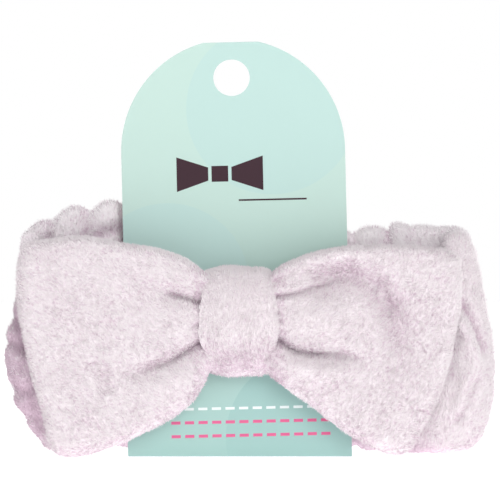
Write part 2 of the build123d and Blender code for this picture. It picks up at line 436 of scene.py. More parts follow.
leftWing = {
    "top": [(-14, 79), (-20.2, 84.6), (-23.5, 86.8), (-29, 90.8), (-41.4, 95.0), (-59.1, 97.6),
            (-74.3, 100.7), (-88, 99.4), (-101, 97.6)],
    "bottom": [(-14, 44), (-18.6, 38.7), (-21.6, 32.4), (-27, 24.5), (-36.9, 17.6), (-46.8, 12.6),
               (-55.6, 8.1), (-63.5, 5), (-76, 1.6), (-83.5, 1.0)],
    "outer": [(-83.5, 1.0), (-88, 3.2), (-90.5, 8), (-93.7, 22.1), (-98.1, 36.9), (-102.6, 57.6),
              (-104.4, 66.2), (-104.8, 81.5), (-103.9, 94), (-101, 97.6)],
    "inner": [(-14, 44), (-14, 79)],
    "broad": [    # soft rises and hollows
        {"line": [(-18, 62), (-30, 62), (-44, 59)], "depth": -2.4, "width": 8, "fadeIn": 0.5,
         "fadeOut": 0.5, "lip": 0.0},
        {"line": [(-24, 40), (-38, 31), (-50, 24)], "depth": -2.0, "width": 7, "fadeOut": 0.4,
         "lip": 0.0},
        {"line": [(-20, 53), (-35, 44.5), (-52, 38.5), (-68, 37)], "depth": 3.0, "width": 3.6,
         "fadeOut": 0.6, "lip": 0.1},
        {"line": [(-18, 70), (-30, 73.5), (-44, 76.5), (-54, 76)], "depth": 2.8, "width": 4.0,
         "fadeOut": 0.55, "lip": 0.1},
        {"line": [(-68, 62), (-65, 50)], "depth": 1.0, "width": 5, "lip": 0.0},
        {"line": [(-71, 44), (-66, 37), (-63, 30)], "depth": 1.8, "width": 3.2, "lip": 0.2},
    ],
    "folds": [    # sharp creases
        {"line": [(-17, 69), (-22.5, 70.7), (-31.5, 73.2), (-36.9, 74.4), (-43.2, 75)],
         "depth": 2.8, "width": 1.25, "fadeOut": 0.5},
        {"line": [(-17, 54.5), (-22, 52.7), (-28.8, 48.6), (-35.1, 44.6), (-41.4, 42.0), (-52.2, 38.2)],
         "depth": 3.2, "width": 1.3, "fadeOut": 0.6},
        {"line": [(-18, 62), (-24, 60), (-29, 59)], "depth": 1.2, "width": 1.2, "fadeOut": 0.7},
        {"line": [(-18, 78), (-24, 79.5), (-31, 82)], "depth": 1.0, "width": 1.4, "fadeOut": 0.7},
    ],
    "knotEdge": -22,    # x where the knot takes it
    "comb": -50,        # degrees, the way the pile is brushed
}

rightWing = {
    "top": [(5, 79), (8.9, 83.0), (13.3, 86.9), (24.8, 92.0), (35.6, 94.8), (45.5, 96.0),
            (57.6, 96.6), (71.1, 96.2), (84.6, 95.0), (91.4, 93.4)],
    "bottom": [(5, 44), (8.2, 38.5), (13.3, 34.7), (17.6, 30.6), (23.9, 27), (31.1, 21.2),
               (40.1, 14), (48.9, 8.6), (56.7, 4.8), (61.2, 3.0), (66, 2.0)],
    "outer": [(66, 2.0), (70.4, 3.0), (73.0, 5.7), (76.6, 12.2), (82.2, 22.7), (87, 34.2),
              (90.1, 45), (93.7, 63.7), (95, 71.6), (95, 86), (94.2, 91.2), (91.4, 93.4)],
    "inner": [(5, 44), (5, 79)],
    "broad": [
        {"line": [(8, 63), (24, 64), (38, 62), (50, 57)], "depth": -5.0, "width": 9.5, "fadeIn": 0.45,
         "fadeOut": 0.45, "lip": 0.0},
        {"line": [(10, 47), (24, 40), (38, 38), (48, 35)], "depth": -3.6, "width": 6, "fadeIn": 0.4,
         "fadeOut": 0.4, "lip": 0.0},
        {"line": [(22, 77), (33, 81), (46, 83), (56, 78), (62, 68), (65, 57), (64, 46), (59, 36)],
         "depth": 6.2, "width": 5.8, "fadeIn": 0.15, "fadeOut": 0.4, "lip": 0.1},
        {"line": [(60, 84), (68, 74), (72, 60), (71, 46), (64, 28)], "depth": 2.5, "width": 8,
         "fadeIn": 0.3, "fadeOut": 0.4, "lip": 0.0},
        {"line": [(8, 56), (20, 48.8), (32, 46.5), (44.6, 45.5), (56, 40)], "depth": 3.4, "width": 3.2,
         "fadeOut": 0.4, "lip": 0.1},
        {"line": [(84, 82), (83, 60)], "depth": 0.9, "width": 5},
        {"line": [(90, 90), (93, 76), (91, 60), (86, 38), (78, 22)], "depth": -1.5, "width": 5,
         "lip": 0.0},
    ],
    "folds": [
        {"line": [(6, 71.5), (11.1, 72.9), (21.2, 74.7), (29.3, 77.2), (37, 79), (44, 81.5)],
         "depth": 2.8, "width": 1.3, "fadeOut": 0.5},
        {"line": [(7, 56), (14.2, 52.8), (20.3, 48.8), (29.3, 47.4), (37.4, 48.2), (44.6, 46.6),
                  (51, 42.6)], "depth": 3.2, "width": 1.3, "fadeOut": 0.35},
        {"line": [(8, 63), (15, 62), (21, 63)], "depth": 1.1, "width": 1.2, "fadeOut": 0.7},
        {"line": [(8, 79), (16, 82), (24, 86)], "depth": 1.0, "width": 1.5, "fadeOut": 0.7},
        {"line": [(73.5, 40), (73, 31)], "depth": 0.9, "width": 1.8, "fadeIn": 0.4, "fadeOut": 0.4},
    ],
    "knotEdge": 13,
    "comb": 40,
}


def evenNap(p, normal):    # as thick all over
    return 1.0


def makeWing(name, wing, seed):
    half = (bow["backY"] - bow["frontY"]) / 2
    middle = (bow["backY"] + bow["frontY"]) / 2
    length = abs(wing["outer"][-1][0] - wing["inner"][0][0])
    outward = 1 if wing["knotEdge"] > 0 else -1
    rim = wing["bottom"] + wing["outer"][1:] + wing["top"][-2::-1]
    corners = [wing["bottom"][0], wing["bottom"][-1], wing["top"][0], wing["top"][-1]]

    def place(u, v, w):    # between the four drawn edges, and rounded over all round
        top, bottom = lineThrough(wing["top"], u), lineThrough(wing["bottom"], u)
        outer, inner = lineThrough(wing["outer"], v), lineThrough(wing["inner"], v)
        point = []
        for i in range(2):
            flat = ((1 - u) * (1 - v) * corners[0][i] + u * (1 - v) * corners[1][i]
                    + (1 - u) * v * corners[2][i] + u * v * corners[3][i])
            point.append((1 - v) * bottom[i] + v * top[i] + (1 - u) * inner[i] + u * outer[i] - flat)
        thick = bow["knotHalf"] + (half - bow["knotHalf"]) * ease(0.05, bow["swellRun"], u)
        thick *= roundOver(min(v, 1 - v) * math.dist(top, bottom), bow["edgeRound"])
        thick *= roundOver((1 - u) * length, bow["edgeRound"]) * (1 - bow["outerThin"] * ease(0.5, 1, u))
        return Vector((point[0], middle + w * thick, point[1]))

    def holdAt(p):    # held at the knot, along the two main creases and round the rim
        free = wing["knotEdge"] + outward * bow["freeFrom"]
        held = wing["knotEdge"] + outward * bow["heldTo"]
        nearKnot = ease(free, held, p.x)
        fromCrease = min(distanceTo(f["line"], p.x, p.z)[0] for f in wing["folds"][:2])
        nearCrease = bow["creaseHold"] * math.exp(-(fromCrease / bow["creaseReach"]) ** 2)
        nearRim = math.exp(-(distanceTo(rim, p.x, p.z)[0] / bow["rimReach"]) ** 2)
        return max(nearKnot, nearCrease if p.y < middle else 0, nearRim)

    def paintedShadeAt(p, normal):    # painted shade: deeper lilac in the folds, by the knot and on faces turned down
        deep = foldDepth(wing["broad"], p.x, p.z) + 1.4 * foldDepth(wing["folds"], p.x, p.z)
        foldShade = bow["shadeInFolds"] * deep * ease(middle + 4, middle - 2, p.y)
        # painted shade where the cloth goes into the knot
        nearKnot = ease(wing["knotEdge"] + outward * 5, wing["knotEdge"] + outward, p.x)
        # painted shade on faces that turn downwards
        under = ease(0.1, -0.7, normal.z)
        return foldShade + bow["shadeByKnot"] * nearKnot + bow["shadeUnder"] * under

    piece = blockOfCloth(name, bow["acrossCuts"], bow["upCuts"], place)
    swell(piece, bow["voxel"], bow["mostMoved"], holdAt)
    softer(piece, 2)
    for v in piece.data.vertices:    # folds at full depth on the front, less behind
        p = v.co / mm
        front = ease(middle + 5, middle - 4, p.y)
        broad, deep = foldDepth(wing["broad"], p.x, p.z), foldDepth(wing["folds"], p.x, p.z)
        behind = bow["broadBehind"] * broad + bow["foldsBehind"] * deep
        v.co.y += mm * (front * (broad + deep) - (1 - front) * behind)
    softer(piece, 1)
    raiseClumps(piece, wing["comb"], seed, paintedShadeAt, evenNap)
    return piece


# The knot: one strap right round the waist of bow and band

knotStrap = {
    "leftEdge": [(-18.6, 38.7), (-19.1, 46.8), (-22.9, 53.9), (-22.7, 64.6), (-21.7, 71.7), (-20.4, 84.2)],
    "rightEdge": [(8, 38.7), (8.9, 45.9), (12, 53), (12.9, 60.1), (11.1, 73.4), (8.9, 82.4)],
    "frontY": -26.6, "backY": 8.4, "lowZ": 37.6, "highZ": 86.6,
    "wall": 3.4, "crown": 1.5, "squareness": 2.7, "wrinkles": 0.5,
    "acrossSquare": 0.6, "throughSquare": 0.8,    # 1 is a round section; less is squarer
    "sectionSteps": 40, "roundSteps": 84,
    "comb": 4,
}


def makeKnot(name, knot, seed):
    middleY, middleZ = (knot["frontY"] + knot["backY"]) / 2, (knot["lowZ"] + knot["highZ"]) / 2
    halfY, halfZ = (knot["backY"] - knot["frontY"]) / 2, (knot["highZ"] - knot["lowZ"]) / 2
    bm = bmesh.new()
    bmesh.ops.create_circle(bm, segments=knot["sectionSteps"], radius=1.0)
    for v in bm.verts:    # the strap's section: x across it, y through it, a unit out from the middle
        across = math.copysign(abs(v.co.x) ** knot["acrossSquare"], v.co.x)
        through = math.copysign(abs(v.co.y) ** knot["throughSquare"], v.co.y)
        v.co = Vector((across, -1.0 - 0.1 * through, 0.0))
    bmesh.ops.spin(bm, geom=list(bm.verts) + list(bm.edges), cent=(0, 0, 0), axis=(1, 0, 0),
                   angle=math.tau, steps=knot["roundSteps"], use_merge=True)
    for v in bm.verts:
        across, through = v.co.x, (math.hypot(v.co.y, v.co.z) - 1) * 10
        angle = math.atan2(v.co.z, -v.co.y)    # 0 to the front, a quarter turn at the top
        power = knot["squareness"]
        ring = (abs(math.cos(angle)) ** power + abs(math.sin(angle)) ** power) ** (-1 / power)
        inset = knot["wall"] * (1 - through) / 2 + knot["crown"] * across**2 * (1 + through) / 2
        wrinkle = math.sin(across * 5 + math.sin(angle * 2))
        inset += knot["wrinkles"] * wrinkle * ease(0.2, 1, through)
        y = middleY - (halfY - inset) * ring * math.cos(angle)
        z = middleZ + (halfZ - inset) * ring * math.sin(angle)
        share = min(1.0, max(0.0, (z - knot["lowZ"]) / (knot["highZ"] - knot["lowZ"])))
        left, right = lineThrough(knot["leftEdge"], share)[0], lineThrough(knot["rightEdge"], share)[0]
        v.co = Vector(((left + right) / 2 + across * (right - left) / 2, y, z)) * mm
    bmesh.ops.remove_doubles(bm, verts=bm.verts, dist=weld)
    bmesh.ops.recalc_face_normals(bm, faces=bm.faces)
    piece = intoScene(name, bm)

    def paintedShadeAt(p, normal):    # painted shade: darker lilac low down and on the two side edges
        return 0.72 * ease(62, 40, p.z) + 0.4 * ease(0.5, 0.95, abs(normal.x)) - 0.1

    softer(piece, 2)
    raiseClumps(piece, knot["comb"], seed, paintedShadeAt, evenNap)
    return piece


# The band: front half and gathered back half of one loop, each a flat tube of cloth

loop = {
    "leftFold": [(0, -93), (6, -94.8), (16, -101), (27, -107.2), (37, -110.4), (45, -111.4), (55, -110.2),
                 (66, -107.6), (79, -105.4), (98.6, -104.6), (118, -99.5)],    # height, x
    "rightFold": [(0, 99), (5.4, 102.4), (10.4, 106), (19.4, 109.2), (28, 110.8), (41, 111.3),
                  (55, 109.8), (68, 107.6), (81, 105.2), (91, 103.2), (100.6, 99.8), (118, 95.5)],
    "middleY": 11.45, "halfDepth": 15.05, "thick": 8.6,
    "lowRow": 6, "highRow": 104, "highGathers": 106,    # heights where the edges' x is taken
    "seamPinch": 0.12, "seamFrom": 0.8, "seamReach": 3.0, "halfLength": 250,
    "napInside": 0.25, "insideSeenDown": 26, "insideSeenOut": 56,    # the pile on the card's side
}

frontBand = {
    "low": [(-110, 4), (-92, 3), (-77, 2), (-60, 11), (-24, 43), (14, 43), (40, 19), (60, 4.6), (74, 2.2),
            (93, 2.0), (110, 4)],    # x, z
    "high": [(-110, 97), (-95, 97), (-60, 92), (-24, 81.5), (14, 81.5), (45, 91), (80, 93), (94, 102),
             (100, 102.5), (110, 100)],
    "gathers": [], "drawnIn": 0.0, "puffed": 0.0, "topDip": 0.0,
    "folds": [
        {"line": [(94, 66), (98.5, 56), (102, 44), (97, 24), (93, 14)], "depth": -3.6, "width": 3.6,
         "fadeIn": 0.1, "fadeOut": 0.2, "lip": 0.0},
        {"line": [(95, 72), (100.4, 61), (104.9, 50), (106, 41)], "depth": 3.6, "width": 2.2,
         "fadeIn": 0.1, "fadeOut": 0.3, "lip": 0.2},
        {"line": [(104, 38), (101.3, 33), (97.5, 22), (92, 13)], "depth": 3.4, "width": 2.2,
         "fadeIn": 0.15, "fadeOut": 0.3, "lip": 0.2},
        {"line": [(91, 54), (91.5, 43), (90, 32)], "depth": 1.6, "width": 2.4, "fadeIn": 0.2,
         "fadeOut": 0.3, "lip": 0.2},
        {"line": [(-108, 67), (-104.5, 60), (-102.5, 44)], "depth": 3.2, "width": 2.6, "fadeIn": 0.3,
         "fadeOut": 0.3},
        {"line": [(-110, 53), (-104, 50), (-98, 51)], "depth": 2.0, "width": 2.4},
        {"line": [(-110, 33), (-104, 30), (-96, 33)], "depth": 1.8, "width": 2.6},
        {"line": [(-103, 33), (-98, 20), (-93, 10)], "depth": 1.8, "width": 2.5, "fadeIn": 0.3,
         "fadeOut": 0.3},
    ],
    "foldsIn": "outer",    # which face of the wall is folded
    "side": -1,            # -1 is the front half of the loop, 1 the back half
    "comb": 12, "acrossCuts": 170, "upCuts": 62,
}

backCasing = {
    "low": [(-110, 8), (-95, 5), (-75, 2.6), (-55, 3.5), (0, 3), (47, 3), (60, 2.0), (79, 2.0), (93, 2.4),
            (110, 4)],
    "high": [(-112, 98), (-106, 101.5), (-99, 109), (-92, 112), (-84, 115.2), (-76.5, 116), (-68, 118),
             (-58.7, 117), (-30, 114), (0, 111), (30, 107), (44, 104.7), (57, 106), (66, 108),
             (72, 107), (84.6, 106.2), (91.6, 106.4), (97.5, 105.6), (103, 102), (112, 97)],
    "gathers": [    # x at the top edge, x at the bottom edge, how deep
        (-114, -114, 0.3), (-91.8, -95, 0.9), (-76.6, -81, 1.0), (-57.5, -62, 0.9), (-44, -46, 0.75),
        (-32, -35, 1.0), (-21.5, -19, 0.6), (-10, -12, 0.9), (2, 3, 1.0), (13, 11, 0.7), (23, 25, 0.9),
        (35, 34, 1.0), (47, 50, 0.8), (61.8, 62, 1.0), (73, 72, 0.3), (89, 90, 0.25), (114, 114, 0.0)],
    "drawnIn": 3.4, "puffed": 2.8, "topDip": 5.2,    # mm: in a gather, on a roll, and off the edge
    "folds": [
        {"line": [(-73, 97), (-67, 101.5), (-58, 103.5)], "depth": 2.6, "width": 3.2, "fadeIn": 0.3,
         "lip": 0.3},
    ],
    "foldsIn": "inner", "side": 1, "comb": -14, "acrossCuts": 200, "upCuts": 56,
}


def loopPoint(share, side, depth, z):    # share left to right; depth inwards from the outside of the loop
    left = heightOf(loop["leftFold"], z) + loop["halfDepth"]
    right = heightOf(loop["rightFold"], z) - loop["halfDepth"]
    bend = loop["halfDepth"] * math.pi / 2
    run = right - left
    s = share * (run + 2 * bend)
    radius = loop["halfDepth"] - depth
    if s < bend:
        angle = s / bend * math.pi / 2
        return left - radius * math.cos(angle), loop["middleY"] + side * radius * math.sin(angle)
    if s > bend + run:
        angle = (s - bend - run) / bend * math.pi / 2
        return right + radius * math.sin(angle), loop["middleY"] + side * radius * math.cos(angle)
    return left + s - bend, loop["middleY"] + side * radius


ruffle = {
    "tall": 110,          # mm from the bottom edge to the top edge
    "sway": 1.3, "swayTurn": 0.09,          # mm to either side, and radians in a mm of height
    "uneven": 0.15, "unevenTurn": 0.08,
    "roundness": 0.7,     # 0.5 is a half circle from gather to gather, 1 is pointed in the gathers
}


def gatherAt(band, x, z):    # 0 on top of a roll, up to 1 in the gather between two rolls
    lines = [(low + (top - low) * z / ruffle["tall"]
              + ruffle["sway"] * math.sin(z * ruffle["swayTurn"] + top), deep)
             for top, low, deep in band["gathers"]]
    for (a, deepA), (b, deepB) in zip(lines, lines[1:]):
        if a <= x <= b:
            t = (x - a) / (b - a)
            even = 1 - ruffle["uneven"] + ruffle["uneven"] * math.sin(z * ruffle["unevenTurn"] + a)
            roll = (4 * t * (1 - t)) ** ruffle["roundness"]
            return even * (deepA + (deepB - deepA) * ease(0, 1, t)) * (1 - roll)
    return 0.0


def makeBand(name, band, seed):
    thick, side = loop["thick"], band["side"]

    def place(u, v, w):    # w is -1 on the front of the wall and 1 behind it
        lowX, highX = (loopPoint(u, side, 0, loop[row])[0] for row in ("lowRow", "highRow"))
        dip = band["topDip"]
        low = heightOf(band["low"], lowX) + 0.5 * dip * gatherAt(band, lowX, loop["lowRow"])
        high = heightOf(band["high"], highX) - dip * gatherAt(band, highX, loop["highGathers"])
        z = low + v * (high - low)
        x = loopPoint(u, side, 0, z)[0]
        gather = gatherAt(band, x, z)
        puff = band["puffed"] * ease(106, 88, abs(x))    # flat again at the side seams
        half = thick / 2 - band["drawnIn"] * gather + puff * (1 - gather)
        if (w * side > 0) == (band["foldsIn"] == "outer"):
            half -= foldDepth(band["folds"], x, z)
        half *= roundOver(min(v, 1 - v) * (high - low), thick / 2 + 0.6)
        fromSeam = min(u, 1 - u) * loop["halfLength"]
        seam = roundOver(fromSeam + loop["seamFrom"], loop["seamReach"])
        half *= 1 - loop["seamPinch"] + loop["seamPinch"] * seam
        x, y = loopPoint(u, side, thick / 2 - w * side * half, z)
        return Vector((x, y, z))

    def paintedShadeAt(p, normal):    # painted shadow behind the left wing; painted shade in folds and gathers, on faces turned down and low near the floor
        wingShadow = 0.8 * ease(-91, -96, p.x) * ease(84, 66, p.z) * ease(13, 4, p.y) if side < 0 else 0
        # painted shade in the folds on the front
        folded = 0.16 * max(0.0, foldDepth(band["folds"], p.x, p.z)) * ease(24, 20, p.y)
        # painted shade on faces turned down and towards the bottom edge
        under = 0.4 * ease(0.2, -0.8, normal.z) + 0.45 * ease(22, 2, p.z) * ease(95, 80, abs(p.x))
        return wingShadow + folded + under + 0.5 * gatherAt(band, p.x, p.z)

    def napAt(p, normal):    # thinner inside the loop, where it lies against the card
        nearTop = p.z > heightOf(band["high"], p.x) - loop["insideSeenDown"]
        seen = nearTop and abs(p.x) > loop["insideSeenOut"] and side > 0
        return loop["napInside"] if normal.y * side < -0.3 and not seen else 1.0

    piece = blockOfCloth(name, band["acrossCuts"], band["upCuts"], place)
    softer(piece, 1)
    raiseClumps(piece, band["comb"], seed, paintedShadeAt, napAt)
    return piece


# Finishes

def fleeceMaterial(name, comb, tip, root):    # comb is the angle that the pile is brushed at, in degrees; root is painted shade at the roots of the pile
    material = bpy.data.materials.new(name)
    material.use_nodes = True
    nodes, links = material.node_tree.nodes, material.node_tree.links
    nodes.clear()
    finishFrame = nodes.new("NodeFrame")
    finishFrame.label, finishFrame.location = "Fleece", (500, 0)
    furrowFrame = nodes.new("NodeFrame")
    furrowFrame.label, furrowFrame.location = "Brushed furrows in the pile", (-1500, 0)
    colourFrame = nodes.new("NodeFrame")
    colourFrame.label, colourFrame.location = "Dye, with painted shade at the roots", (-400, 300)
    reliefFrame = nodes.new("NodeFrame")
    reliefFrame.label, reliefFrame.location = "Relief", (-400, -400)

    out = nodes.new("ShaderNodeOutputMaterial")
    out.label, out.location, out.parent = "Fleece surface", (400, 0), finishFrame
    cloth = nodes.new("ShaderNodeBsdfPrincipled")
    cloth.label, cloth.location, cloth.parent = "Polyester pile", (100, 0), finishFrame

    place = nodes.new("ShaderNodeTexCoord")
    place.label, place.location, place.parent = "Place on the cloth", (-300, 0), furrowFrame
    drift = nodes.new("ShaderNodeTexNoise")
    drift.label, drift.location, drift.parent = "Where the furrows wander", (-100, -250), furrowFrame
    centred = nodes.new("ShaderNodeVectorMath")
    centred.label, centred.location, centred.parent = "Drift either way", (100, -250), furrowFrame
    driftSize = nodes.new("ShaderNodeVectorMath")
    driftSize.label, driftSize.location, driftSize.parent = "How far they wander", (300, -250), furrowFrame
    wandered = nodes.new("ShaderNodeVectorMath")
    wandered.label, wandered.location, wandered.parent = "Wandering place", (500, 0), furrowFrame
    brushed = nodes.new("ShaderNodeMapping")
    brushed.label, brushed.location, brushed.parent = "Brushed one way", (700, 0), furrowFrame
    furrows = nodes.new("ShaderNodeTexNoise")
    furrows.label, furrows.location, furrows.parent = "Furrows", (900, 100), furrowFrame
    lockCells = nodes.new("ShaderNodeTexVoronoi")
    lockCells.label, lockCells.location, lockCells.parent = "Locks of pile", (900, -200), furrowFrame
    together = nodes.new("ShaderNodeMath")
    together.label, together.location, together.parent = "Furrows less lock edges", (1100, 0), furrowFrame

    pileShade = nodes.new("ShaderNodeAttribute")
    pileShade.label, pileShade.location, pileShade.parent = "Height of the clumps", (-200, 0), colourFrame
    paintedShade = nodes.new("ShaderNodeAttribute")
    paintedShade.label, paintedShade.location, paintedShade.parent = "Painted shade amount", (-200, -200), colourFrame
    height = nodes.new("ShaderNodeMath")
    height.label, height.location, height.parent = "Root to tip", (0, 0), colourFrame
    dyeAndShade = nodes.new("ShaderNodeValToRGB")
    dyeAndShade.label, dyeAndShade.location, dyeAndShade.parent = "Painted root shade to tip dye", (200, 0), colourFrame
    blotch = nodes.new("ShaderNodeTexNoise")
    blotch.label, blotch.location, blotch.parent = "Uneven brushing", (0, -300), colourFrame
    blotchTone = nodes.new("ShaderNodeMix")
    blotchTone.label, blotchTone.location = "Faintly pinker patches", (500, 0)
    blotchTone.parent = colourFrame
    shadeTone = nodes.new("ShaderNodeMix")
    shadeTone.label, shadeTone.location, shadeTone.parent = "Painted lilac shade in folds and underneath", (700, 0), colourFrame
    relief = nodes.new("ShaderNodeBump")
    relief.label, relief.location, relief.parent = "Pile relief", (200, 0), reliefFrame

    drift.inputs["Scale"].default_value = 190.0
    drift.inputs["Detail"].default_value = 1.0
    centred.operation = "SUBTRACT"
    centred.inputs[1].default_value = (0.5, 0.5, 0.5)
    driftSize.operation = "SCALE"
    driftSize.inputs["Scale"].default_value = 0.0026
    wandered.operation = "ADD"
    brushed.vector_type = "TEXTURE"
    brushed.inputs["Rotation"].default_value = (0, math.radians(comb), 0)
    brushed.inputs["Scale"].default_value = (0.0008, 0.0008, 0.0022)
    furrows.inputs["Scale"].default_value = 1.0
    furrows.inputs["Detail"].default_value = 2.0
    furrows.inputs["Roughness"].default_value = 0.55
    furrows.inputs["Distortion"].default_value = 0.5
    lockCells.feature = "SMOOTH_F1"
    lockCells.inputs["Scale"].default_value = 0.8
    lockCells.inputs["Smoothness"].default_value = 0.5
    together.operation = "MULTIPLY_ADD"
    together.inputs[1].default_value = -0.35
    pileShade.attribute_name = "pileShade"
    paintedShade.attribute_name = "paintedShade"
    height.operation = "MULTIPLY_ADD"
    height.inputs[1].default_value = 0.22
    # painted shade: the root colour darkens the low furrows and the edges between locks
    dyeAndShade.color_ramp.elements[0].position = 0.12
    dyeAndShade.color_ramp.elements[0].color = root
    dyeAndShade.color_ramp.elements[1].position = 0.52
    dyeAndShade.color_ramp.elements[1].color = tip
    blotch.inputs["Scale"].default_value = 55.0
    blotch.inputs["Detail"].default_value = 2.0
    blotchTone.data_type = "RGBA"
    blotchTone.blend_type = "MULTIPLY"
    blotchTone.inputs["B"].default_value = (1.0, 0.965, 0.99, 1)
    # painted shade: lilac in folds, by the knot and underneath
    shadeTone.data_type = "RGBA"
    shadeTone.blend_type = "MULTIPLY"
    shadeTone.inputs["B"].default_value = (0.84, 0.72, 0.81, 1)
    relief.inputs["Strength"].default_value = 0.85
    relief.inputs["Distance"].default_value = 0.0006
    cloth.inputs["Roughness"].default_value = 0.95
    cloth.inputs["Sheen Weight"].default_value = 0.3
    cloth.inputs["Sheen Roughness"].default_value = 0.45
    cloth.inputs["Sheen Tint"].default_value = (1.0, 0.96, 0.985, 1)
    cloth.inputs["Specular IOR Level"].default_value = 0.15

    links.new(place.outputs["Object"], drift.inputs["Vector"])
    links.new(drift.outputs["Color"], centred.inputs[0])
    links.new(centred.outputs["Vector"], driftSize.inputs[0])
    links.new(place.outputs["Object"], wandered.inputs[0])
    links.new(driftSize.outputs["Vector"], wandered.inputs[1])
    links.new(wandered.outputs["Vector"], brushed.inputs["Vector"])
    links.new(brushed.outputs["Vector"], furrows.inputs["Vector"])
    links.new(brushed.outputs["Vector"], lockCells.inputs["Vector"])
    links.new(lockCells.outputs["Distance"], together.inputs[0])
    links.new(furrows.outputs["Fac"], together.inputs[2])
    links.new(pileShade.outputs["Fac"], height.inputs[0])
    links.new(together.outputs["Value"], height.inputs[2])
    links.new(height.outputs["Value"], dyeAndShade.inputs["Fac"])
    links.new(place.outputs["Object"], blotch.inputs["Vector"])
    links.new(blotch.outputs["Fac"], blotchTone.inputs["Factor"])
    links.new(dyeAndShade.outputs["Color"], blotchTone.inputs["A"])
    links.new(paintedShade.outputs["Fac"], shadeTone.inputs["Factor"])
    links.new(blotchTone.outputs["Result"], shadeTone.inputs["A"])
    links.new(shadeTone.outputs["Result"], cloth.inputs["Base Color"])
    links.new(together.outputs["Value"], relief.inputs["Height"])
    links.new(relief.outputs["Normal"], cloth.inputs["Normal"])
    links.new(cloth.outputs["BSDF"], out.inputs["Surface"])
    return material


def lockMaterial(name, dye):    # one dye for a whole lock, so it needs no picture of its own
    material = bpy.data.materials.new(name)
    material.use_nodes = True
    nodes, links = material.node_tree.nodes, material.node_tree.links
    nodes.clear()
    out = nodes.new("ShaderNodeOutputMaterial")
    out.label, out.location = "Lock surface", (300, 0)
    fibre = nodes.new("ShaderNodeBsdfPrincipled")
    fibre.label, fibre.location = "Polyester fibres", (0, 0)
    fibre.inputs["Base Color"].default_value = dye
    fibre.inputs["Roughness"].default_value = 0.9
    fibre.inputs["Sheen Weight"].default_value = 0.2
    fibre.inputs["Sheen Roughness"].default_value = 0.4
    fibre.inputs["Sheen Tint"].default_value = (1.0, 0.96, 0.985, 1)
    fibre.inputs["Specular IOR Level"].default_value = 0.2
    links.new(fibre.outputs["BSDF"], out.inputs["Surface"])
    return material


cardPrint = {
    # the low colours are darker and bluer: partly print, partly painted shade below the bow
    "mint": (0.535, 0.715, 0.655, 1), "lowMintShaded": (0.38, 0.595, 0.555, 1), "tint": (0.505, 0.70, 0.66, 1),
    "lowTintShaded": (0.365, 0.58, 0.545, 1),
    "wine": (0.032, 0.004, 0.014, 1), "pink": (0.78, 0.13, 0.30, 1), "white": (0.86, 0.93, 0.92, 1),
    "circles": [(9.9, 158.9, 39), (-37.4, 78.8, 37), (27, 9, 38)],    # x, z, radius in mm
    "turn": 1.3,    # degrees that the card leans
    "bow": {"x": -6.3, "z": 129.0, "waist": 1.2, "flare": 0.34, "loopOut": 12.5, "loopHalf": 7.2,
            "knotTall": 3.6, "knotWide": 3.8},
    "rule": {"x": 17.5, "z": 116.8, "half": 15.5, "thick": 0.4},
    "whiteRow": {"x": 4.5, "z": 22.1, "half": 36.0, "thick": 0.6},
    "pinkRows": {"x": 5.5, "z": 12.8, "half": 37.0, "thick": 0.7, "apart": 3.1},    # up and down from z
    "stitch": 4.2, "stitchAndGap": 6.2,
}


